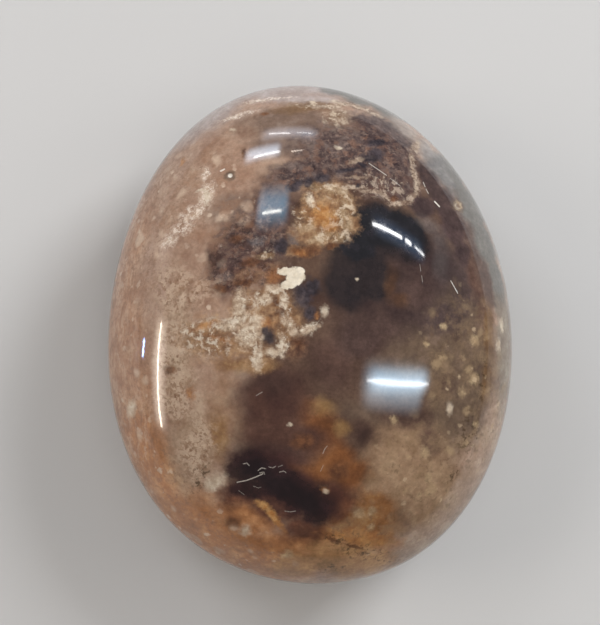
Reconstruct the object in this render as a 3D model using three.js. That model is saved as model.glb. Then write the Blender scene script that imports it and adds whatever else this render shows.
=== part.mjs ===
// Ocean jasper palm stone: one pebble of speckled chalcedony, ground by hand to an uneven oval,
// domed above and below, polished all over, and flattened on the small spot that it rests on.
// Millimetres, +Z up, +Y along the length. The origin is on the flat spot, under the middle.
import * as THREE from 'three';
import { mergeVertices } from 'three/addons/utils/BufferGeometryUtils.js';

// The oval seen from above: half its width and length, and how far its long axis is turned from +Y.
const HALF_WIDTH = 26.4;
const HALF_LENGTH = 32.7;
const LONG_AXIS_TURN = THREE.MathUtils.degToRad(3.3);

// Hand grinding leaves the oval a little three-cornered and a little four-cornered.
// Each swell is a share of the radius, and the angle is that of its first corner.
const THREE_CORNER_SWELL = 0.013;
const THREE_CORNER_ANGLE = THREE.MathUtils.degToRad(-28);
const FOUR_CORNER_SWELL = 0.0083;
const FOUR_CORNER_ANGLE = THREE.MathUtils.degToRad(33);

// The profile seen from the side: the crown is domed more than the belly,
// the shoulders are fuller than an ellipse, and the crown leans a little off the middle.
const HALF_THICKNESS = 15.4;
const CROWN_SHARE = 0.05;
const SHOULDER_FULLNESS = 0.014;
const CROWN_LEAN = new THREE.Vector2(0.7, 1.1);

// The flat spot is ground this far into the belly, and its rim is softened over this height.
const FLAT_SPOT_DEPTH = 0.8;
const FLAT_SPOT_SOFTENING = 0.3;

// Each edge of an icosahedron is cut into this many for the surface.
const EDGE_STEPS = 18;

const STONE_COLOUR = 0x8f7362;
const POLISH_ROUGHNESS = 0.08;

// Nothing of the belly below this height is left.
const FLAT_SPOT_HEIGHT = -HALF_THICKNESS * (1 - CROWN_SHARE) + FLAT_SPOT_DEPTH;

// The height above the flat spot, with everything under it brought level and its rim rounded.
function heightAboveFlatSpot(height) {
  const above = height - FLAT_SPOT_HEIGHT;
  const soft = FLAT_SPOT_SOFTENING;
  if (above >= soft) return above;
  if (above <= -soft) return 0;
  return (above + soft) ** 2 / (4 * soft);
}

// The point of the stone's surface that lies in the given unit direction from its middle.
function surfacePoint(direction) {
  const around = Math.atan2(direction.y, direction.x);
  const rise = direction.z;
  const level = Math.hypot(direction.x, direction.y);
  const swell = 1
    + THREE_CORNER_SWELL * level ** 3 * Math.cos(3 * (around - THREE_CORNER_ANGLE))
    + FOUR_CORNER_SWELL * level ** 4 * Math.cos(4 * (around - FOUR_CORNER_ANGLE))
    + SHOULDER_FULLNESS * 4 * (rise * level) ** 2;
  const plan = new THREE.Vector2(HALF_WIDTH * direction.x, HALF_LENGTH * direction.y)
    .multiplyScalar(swell)
    .rotateAround(new THREE.Vector2(), LONG_AXIS_TURN)
    .addScaledVector(CROWN_LEAN, rise);
  const height = HALF_THICKNESS * rise * (1 + CROWN_SHARE * rise) * swell;
  return new THREE.Vector3(plan.x, plan.y, heightAboveFlatSpot(height));
}

// The whole stone as one closed surface, with the middle of its outline over the origin.
function makeStoneGeometry() {
  const ball = new THREE.IcosahedronGeometry(1, EDGE_STEPS - 1);
  ball.deleteAttribute('normal');
  ball.deleteAttribute('uv');
  const stone = mergeVertices(ball);
  const position = stone.getAttribute('position');
  const direction = new THREE.Vector3();
  for (let i = 0; i < position.count; i++) {
    direction.fromBufferAttribute(position, i).normalize();
    position.setXYZ(i, ...surfacePoint(direction));
  }
  stone.computeBoundingBox();
  const middle = stone.boundingBox.getCenter(new THREE.Vector3());
  stone.translate(-middle.x, -middle.y, 0);
  stone.computeVertexNormals();
  return stone;
}

const polishedJasper = new THREE.MeshStandardMaterial({
  color: STONE_COLOUR,
  roughness: POLISH_ROUGHNESS,
  metalness: 0,
});

const palmStone = new THREE.Mesh(makeStoneGeometry(), polishedJasper);
palmStone.name = 'palm_stone';

const stoneGroup = new THREE.Group();
stoneGroup.add(palmStone);

export default stoneGroup;
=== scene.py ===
# The looks of one ocean jasper palm stone: a pebble of speckled chalcedony, ground by hand to an uneven
# oval, domed above and below and polished all over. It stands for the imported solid, in the same frame.
import math
from typing import NamedTuple

import bmesh
import bpy
from mathutils import Matrix, Vector, kdtree, noise


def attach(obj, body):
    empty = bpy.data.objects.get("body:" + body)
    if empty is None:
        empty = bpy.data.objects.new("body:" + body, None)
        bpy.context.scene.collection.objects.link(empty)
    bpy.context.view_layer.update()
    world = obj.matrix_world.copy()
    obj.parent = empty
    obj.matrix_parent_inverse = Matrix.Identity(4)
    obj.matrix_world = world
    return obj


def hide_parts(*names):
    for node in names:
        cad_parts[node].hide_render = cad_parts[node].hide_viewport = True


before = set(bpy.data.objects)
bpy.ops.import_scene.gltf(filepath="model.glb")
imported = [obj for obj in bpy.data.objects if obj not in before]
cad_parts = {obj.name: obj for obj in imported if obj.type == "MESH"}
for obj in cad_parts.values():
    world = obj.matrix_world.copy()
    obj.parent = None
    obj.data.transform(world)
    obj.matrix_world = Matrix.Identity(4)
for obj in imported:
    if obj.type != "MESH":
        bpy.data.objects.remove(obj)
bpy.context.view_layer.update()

# Everything below is in millimetres unless its name says metres, and MM turns it to metres.
MM = 0.001

# The oval seen from above, as in the solid: half its width and length, and its long axis's turn.
HALF_WIDTH = 26.4
HALF_LENGTH = 32.7
LONG_AXIS_TURN = math.radians(3.3)
THREE_CORNER_SWELL = 0.013
THREE_CORNER_ANGLE = math.radians(-28)
FOUR_CORNER_SWELL = 0.0083
FOUR_CORNER_ANGLE = math.radians(33)

# The profile seen from the side, as in the solid.
HALF_THICKNESS = 15.4
CROWN_SHARE = 0.05
SHOULDER_FULLNESS = 0.014
CROWN_LEAN = Vector((0.7, 1.1))
FLAT_SPOT_DEPTH = 0.8
FLAT_SPOT_SOFTENING = 0.3
FLAT_SPOT_HEIGHT = -HALF_THICKNESS * (1 - CROWN_SHARE) + FLAT_SPOT_DEPTH

# The polishing wheel leaves faint waves, which make the edges of a reflection tremble.
POLISH_WAVE_HEIGHT = 0.02
POLISH_WAVE_LENGTH = 7.0

# The ball that the stone is shaped from: 20 triangles, each cut in four this many times less one.
BALL_SUBDIVISIONS = 7

# The mesh is cut finer around wear, once for each of these distances from it.
FINER_MESH_REACHES = (1.0, 0.7, 0.45)

# Wear is pressed in no further from its middle than this many times its half width.
WEAR_REACH = 2.5

# The search for the surface over a place takes this many steps, and stays this near the rim.
SEARCH_STEPS = 12
RIM_SHARE = 0.999

# The camera looks down, leaning towards the near end and the left of the stone.
CAMERA_DISTANCE = 250.0
CAMERA_LENS = 110.95
CAMERA_LEAN_NEAR = math.radians(7.5)
CAMERA_LEAN_LEFT = math.radians(5.0)
CAMERA_AIM = Vector((-1.49, 2.42, 15.0))

# The colour sockets of a Mix node, which has others of the same names.
MIX_SHARE = 0
MIX_UNDER = 6
MIX_OVER = 7
MIX_OUT = 2

# A mark's nearness falls from 1 at its middle to 0 at this many times its size.
MARK_REACH = 2.5

# Three kinds of noise: size of its swirls, how far it stirs a mark's edge, its detail and roughness.
FIELDS = {
    "cloud": (6.0, 4.0, 4, 0.5),
    "mottle": (2.4, 2.2, 5, 0.6),
    "fret": (0.9, 1.1, 4, 0.65),
}

# How much of the cloud, mottle and fret noise is in the shading of each kind of marking.
MOTTLE_WEIGHTS = {
    "cloud": (1.0, 0.5, 0.15),
    "mottle": (0.5, 0.7, 0.35),
    "fret": (0.2, 0.8, 1.0),
}

# The markings of the underside come in between these two heights, under the rim.
UNDERSIDE_TOP = 12.5
UNDERSIDE_FULL = 10.0

# Where a marking's dark, middle and light tones lie in that shading.
TONE_PLACES = (0.32, 0.5, 0.68)

GROUND_TONES = ("#876A59", "#997E6C", "#A78F7C")

# The finest grain of the stone, and how far it darkens and lightens the colour.
GRAIN_SIZE = 0.45
GRAIN_DARKEST = 0.86
GRAIN_LIGHTEST = 1.14

# Marks that meet run together over this much nearness.
MARK_MERGING = 0.08

# The polish is between these two roughnesses, and polishing powder adds to it.
POLISH_ROUGHNESS_LOW = 0.03
POLISH_ROUGHNESS_HIGH = 0.08
POWDER_ROUGHNESS = 0.4
POWDER_TONE = "#DCD4C8"
QUARTZ_IOR = 1.54

# Streaks are squeezed by these shares along X, Y and Z before their noise is read.
STREAK_STRETCH = (1.0, 0.12, 0.45)

TABLE_HALF_SIZE = 1500.0

# The lamps are this far from the crown, which their directions are given from.
CROWN = Vector((0, 0, 28)) * MM
LAMP_DISTANCE = 800.0
ROOM_STRENGTH = 0.2

# The tubes whose reflections lie on the polish. Each is its name, the (azimuth, elevation)
# of its two ends in degrees, its breadth, its radiance and its tone.
TUBES = (
    ("ceiling_tube", (-24.2, 68.5), (-11.8, 42.9), 7.5, 23, "#FFFFFF"),
    ("far_right_tube", (52.5, 49.6), (38.8, 42.9), 15, 40, "#FFFFFF"),
    ("far_right_tube_middle", (37.3, 41.9), (34.8, 40.4), 17, 38, "#FFFFFF"),
    ("far_right_tube_end", (33.2, 39.2), (29.3, 36.7), 9, 30, "#FFFFFF"),
    ("far_left_tube", (112.5, 28.6), (100.6, 31.2), 14, 17, "#FFFFFF"),
    ("far_thin_tube", (103.4, 19), (95.1, 22), 7, 22, "#FFFFFF"),
    ("far_thin_tube_end", (92.2, 22.1), (85.8, 22.6), 5, 14, "#FFFFFF"),
    ("far_faint_tube", (95.5, 32.5), (90.6, 32.4), 6, 22, "#FFEEDD"),
    ("middle_tube", (117.8, 52), (106.8, 54.8), 12, 20, "#FFFBF0"),
    ("left_tube", (173, 20.2), (200.4, 10.4), 9.5, 44, "#FFF1DC"),
    ("left_low_tube", (176.6, 4.3), (180.4, 2.6), 11, 130, "#8CB2FF"),
    ("left_faint_tube", (154, 3.7), (159.5, 5.2), 6, 4, "#FFD6A8"),
)

# The glows round them, given in the same way, which fade out across their breadth.
GLOWS = (
    ("ceiling_glow", (-24.2, 68.5), (-11.8, 42.9), 34, 18, "#E4EEFC"),
    ("ceiling_wide_glow", (-25, 69.5), (-10.2, 41), 122, 10.5, "#B8DCF4"),
    ("ceiling_low_glow", (-31, 71), (-13.5, 42.5), 220, 8, "#BEDAEE"),
    ("far_right_glow", (54, 50), (28, 35.5), 130, 2, "#86B0E4"),
    ("far_left_glow", (117, 25.4), (99, 30.4), 150, 12, "#D8E8FA"),
    ("far_thin_glow", (108, 18), (82, 23), 160, 5, "#E0E6F4"),
    ("middle_glow", (120.5, 48.4), (100.5, 54), 240, 7.5, "#94C4E2"),
    ("left_glow", (169, 22), (203, 9.2), 190, 7, "#FFEEDC"),
)

# The soft boxes that light the stone but aren't mirrored in it. Each is its name, the (azimuth,
# elevation) of its two ends, its breadth, its radiance, its tone and its distance.
SOFT_BOXES = (
    ("far_right_soft_box", (28, 35), (56, 35), 350, 14.5, "#FBFDFF", 700),
    ("far_left_soft_box", (121, 35), (149, 35), 350, 5, "#F8FAFF", 700),
    ("left_soft_box", (166, 35), (194, 35), 350, 4.6, "#FFF6EC", 700),
    ("right_soft_box", (-14, 35), (14, 35), 350, 2.2, "#FFF8F2", 700),
    ("near_soft_box", (256, 60), (284, 60), 350, 2.4, "#FFF6EE", 700),
    ("overhead_soft_box", (0, 75), (180, 75), 350, 1.6, "#FFFFFF", 700),
)


def linear(hex_colour, alpha=1.0):
    """The linear colour that Blender wants for an sRGB hex value."""
    channels = [int(hex_colour[i:i + 2], 16) / 255 for i in (1, 3, 5)]
    return tuple(c / 12.92 if c <= 0.04045 else ((c + 0.055) / 1.055) ** 2.4 for c in channels) + (alpha,)


def height_above_flat_spot(height):
    """The height with everything under the flat spot brought level and its rim rounded."""
    above = height - FLAT_SPOT_HEIGHT
    if above >= FLAT_SPOT_SOFTENING:
        return above
    if above <= -FLAT_SPOT_SOFTENING:
        return 0.0
    return (above + FLAT_SPOT_SOFTENING) ** 2 / (4 * FLAT_SPOT_SOFTENING)


def surface_point(direction):
    """The point of the stone's surface in a unit direction from its middle, before it is centred."""
    around = math.atan2(direction.y, direction.x)
    rise = direction.z
    level = math.hypot(direction.x, direction.y)
    swell = (
        1
        + THREE_CORNER_SWELL * level ** 3 * math.cos(3 * (around - THREE_CORNER_ANGLE))
        + FOUR_CORNER_SWELL * level ** 4 * math.cos(4 * (around - FOUR_CORNER_ANGLE))
        + SHOULDER_FULLNESS * 4 * (rise * level) ** 2
    )
    plan = Vector((HALF_WIDTH * direction.x, HALF_LENGTH * direction.y)) * swell
    plan.rotate(Matrix.Rotation(LONG_AXIS_TURN, 2))
    plan += CROWN_LEAN * rise
    height = HALF_THICKNESS * rise * (1 + CROWN_SHARE * rise) * swell
    return Vector((plan.x, plan.y, height_above_flat_spot(height)))


def outline_middle():
    """The middle of the outline seen from above, which the solid has over its origin."""
    steps = 720
    rims = [
        surface_point(Vector((math.cos(a) * math.cos(e), math.sin(a) * math.cos(e), math.sin(e))))
        for a in (2 * math.pi * i / steps for i in range(steps))
        for e in (math.radians(tilt) for tilt in (-2, 0, 2, 4, 6))
    ]
    middle_x = (min(p.x for p in rims) + max(p.x for p in rims)) / 2
    middle_y = (min(p.y for p in rims) + max(p.y for p in rims)) / 2
    return Vector((middle_x, middle_y, 0))


MIDDLE = outline_middle()


def direction_to(x, y, side=1):
    """The unit direction of the surface point over (side 1) or under (side -1) a place in the plan."""
    target = Vector((x + MIDDLE.x, y + MIDDLE.y))
    guess = Vector((target.x / HALF_WIDTH, target.y / HALF_LENGTH))
    for _ in range(SEARCH_STEPS):
        if guess.length > RIM_SHARE:
            guess = guess.normalized() * RIM_SHARE
        direction = Vector((guess.x, guess.y, side * math.sqrt(1 - guess.length_squared)))
        miss = target - surface_point(direction).xy
        guess += Vector((miss.x / HALF_WIDTH, miss.y / HALF_LENGTH))
    return direction


def place_on_stone(x, y, side=1):
    """The surface point over or under a place in the plan, centred as the stone is."""
    return surface_point(direction_to(x, y, side)) - MIDDLE


class Wear(NamedTuple):
    """A pit, nick or scratch in the polish of the crown."""
    path: tuple
    half_width: float
    depth: float
    powder: float


WEAR = (
    # The round pit left of the far end, full of pale polishing powder, and the dash beside it.
    Wear(((-11.2, 18.2),), 0.42, 0.2, 0.9),
    Wear(((-12.3, 18.9), (-11.9, 19.1)), 0.17, 0.06, 0.7),
    # The pit with an ochre middle near the right edge.
    Wear(((18.0, 15.3),), 0.6, 0.2, 0.12),
    # Nicks between that pit and the crust.
    Wear(((14.7, 15.4), (15.3, 14.8)), 0.14, 0.08, 0.8),
    Wear(((13.3, 17.9), (13.5, 17.3)), 0.09, 0.05, 0.5),
    Wear(((13.6, 17.0), (13.9, 16.4)), 0.08, 0.05, 0.4),
    # The long hairline scratch across the mauve part, which fades out and comes back.
    Wear(((6.2, 19.9), (8.4, 18.4)), 0.07, 0.04, 0.55),
    Wear(((8.9, 18.0), (10.1, 17.1)), 0.06, 0.03, 0.35),
    # The short scratch right of the dark agate.
    Wear(((16.4, 5.1), (17.3, 3.6)), 0.08, 0.05, 0.6),
    # The scratches in the near dark patch: one long one, and a scribble of short ones above it.
    Wear(((-10.1, -20.0), (-9.0, -19.8), (-7.9, -19.4), (-7.0, -19.0)), 0.08, 0.05, 0.6),
    Wear(((-9.4, -17.8), (-9.0, -17.7), (-8.7, -18.0)), 0.07, 0.04, 0.45),
    Wear(((-7.6, -18.6), (-7.2, -18.3), (-6.7, -18.4)), 0.07, 0.04, 0.5),
    Wear(((-7.4, -18.9), (-6.9, -18.8), (-6.8, -19.1)), 0.06, 0.04, 0.45),
    Wear(((-6.3, -18.2), (-5.8, -18.3), (-5.5, -18.1)), 0.06, 0.03, 0.4),
    Wear(((-5.2, -18.2), (-4.7, -18.0)), 0.05, 0.03, 0.35),
    Wear(((-5.0, -18.8), (-4.5, -18.7), (-4.2, -18.9)), 0.06, 0.04, 0.4),
    Wear(((-8.1, -20.5), (-7.5, -20.7), (-7.2, -20.6)), 0.05, 0.03, 0.3),
    Wear(((-9.9, -21.0), (-9.2, -21.5)), 0.05, 0.03, 0.25),
    # Hairlines right of the dark agate and over the orange-brown part.
    Wear(((12.3, 6.9), (12.4, 6.1)), 0.05, 0.03, 0.3),
    Wear(((12.5, 5.5), (12.6, 4.7)), 0.05, 0.03, 0.3),
    Wear(((0.7, -15.7), (0.4, -16.1), (0.2, -16.6)), 0.06, 0.03, 0.35),
    Wear(((0.3, -18.0), (0.0, -18.7)), 0.05, 0.03, 0.3),
    Wear(((-4.2, -23.5), (-3.5, -23.6), (-2.9, -23.5)), 0.06, 0.03, 0.35),
    Wear(((-8.0, -9.6), (-7.3, -9.2)), 0.08, 0.03, 0.25),
)


def cut_finer(ball):
    """Cuts the ball's mesh finer around each pit, nick and scratch."""
    for reach in FINER_MESH_REACHES:
        ball.verts.ensure_lookup_table()
        tree = kdtree.KDTree(len(ball.verts))
        for i, vert in enumerate(ball.verts):
            tree.insert(vert.co, i)
        tree.balance()
        close = set()
        for wear in WEAR:
            for x, y in path_places(wear.path):
                found = tree.find_range(direction_to(x, y), (reach + wear.half_width) / HALF_WIDTH)
                close.update(i for _, i, _ in found)
        edges = [e for e in ball.edges if e.verts[0].index in close and e.verts[1].index in close]
        bmesh.ops.subdivide_edges(ball, edges=edges, cuts=1, use_grid_fill=True)
        bmesh.ops.triangulate(ball, faces=[f for f in ball.faces if len(f.verts) > 3])
        for vert in ball.verts:
            vert.co.normalize()
        ball.verts.index_update()


def path_places(path, step=0.2):
    """Places along a path in the plan, no further apart than the step."""
    places = [path[0]]
    for (x1, y1), (x2, y2) in zip(path, path[1:]):
        count = max(1, math.ceil(math.hypot(x2 - x1, y2 - y1) / step))
        places += [(x1 + (x2 - x1) * i / count, y1 + (y2 - y1) * i / count) for i in range(1, count + 1)]
    return places


def distance_to_path(point, path):
    """How far a point in the plan is from a path, or from its one place."""
    if len(path) == 1:
        return (point - Vector(path[0])).length
    nearest = math.inf
    for start, end in zip(path, path[1:]):
        start, along = Vector(start), Vector(end) - Vector(start)
        share = min(1, max(0, (point - start).dot(along) / along.length_squared))
        nearest = min(nearest, (point - start - along * share).length)
    return nearest


def press_in_wear(ball, powder_layer):
    """Sinks each pit, nick and scratch into the crown, and notes where powder stays in it."""
    ball.normal_update()
    tree = kdtree.KDTree(len(ball.verts))
    for i, vert in enumerate(ball.verts):
        tree.insert(vert.co, i)
    tree.balance()
    ball.verts.ensure_lookup_table()
    for wear in WEAR:
        reached = set()
        for x, y in path_places(wear.path):
            found = tree.find_range(place_on_stone(x, y), wear.half_width * WEAR_REACH)
            reached.update(i for _, i, _ in found)
        for i in reached:
            vert = ball.verts[i]
            share = distance_to_path(vert.co.xy, wear.path) / wear.half_width
            bowl = max(0.0, 1 - share ** 2) ** 1.5
            vert.co -= vert.normal * wear.depth * bowl
            filled = min(1.0, max(0.0, 2.2 * bowl - 0.5))
            vert[powder_layer] = max(vert[powder_layer], wear.powder * filled)


def make_pebble():
    """The whole stone as one closed mesh, with its place in the mesh."""
    ball = bmesh.new()
    bmesh.ops.create_icosphere(ball, subdivisions=BALL_SUBDIVISIONS, radius=1)
    powder_layer = ball.verts.layers.float.new("powder")
    cut_finer(ball)
    for vert in ball.verts:
        wave = noise.noise(vert.co * HALF_WIDTH / POLISH_WAVE_LENGTH)
        flatten = min(1.0, max(0.0, vert.co.z + 0.9))
        outward = vert.co * POLISH_WAVE_HEIGHT * wave * flatten
        vert.co = surface_point(vert.co) - MIDDLE + outward
    press_in_wear(ball, powder_layer)
    bmesh.ops.scale(ball, vec=(MM, MM, MM), verts=ball.verts)
    for face in ball.faces:
        face.smooth = True
    mesh = bpy.data.meshes.new("jasper_pebble")
    ball.to_mesh(mesh)
    ball.free()
    pebble = bpy.data.objects.new("jasper_pebble", mesh)
    bpy.context.scene.collection.objects.link(pebble)
    return pebble


class Layer(NamedTuple):
    """One kind of marking: its dark, middle and light tones, where it is, and how its edge runs out.

    A mark is (x, y, half length, half width, turn), in millimetres in the plan, the turn in degrees.
    The edge is the share of a mark's size over which it fades, and ragged is how far noise moves it.
    The field is the kind of noise. The share is how much of the ground the marks hide at most. The side
    is 1 for the crown and -1 for the underside.
    """
    tones: tuple
    marks: tuple
    edge: float
    ragged: float
    field: str
    share: float = 1.0
    side: int = 1


class Zone(NamedTuple):
    """Where grains lie: an edge, marks and a side, as a layer has them."""
    edge: float
    ragged: float
    field: str
    marks: tuple
    side: int = 1


class Grains(NamedTuple):
    """Dots, clumps, streaks or lines of one tone in one of the zones.

    Dots have their largest radius as size, and a softness, in millimetres. Clumps and streaks lie where
    noise is above the size, and lines where it is close to it. Their softness is the reach of noise over
    which they fade. Streaks are clumps drawn out along the stone.
    """
    kind: str
    tone: str
    zone: str
    field: str
    spacing: float
    size: float
    softness: float
    share: float


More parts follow.
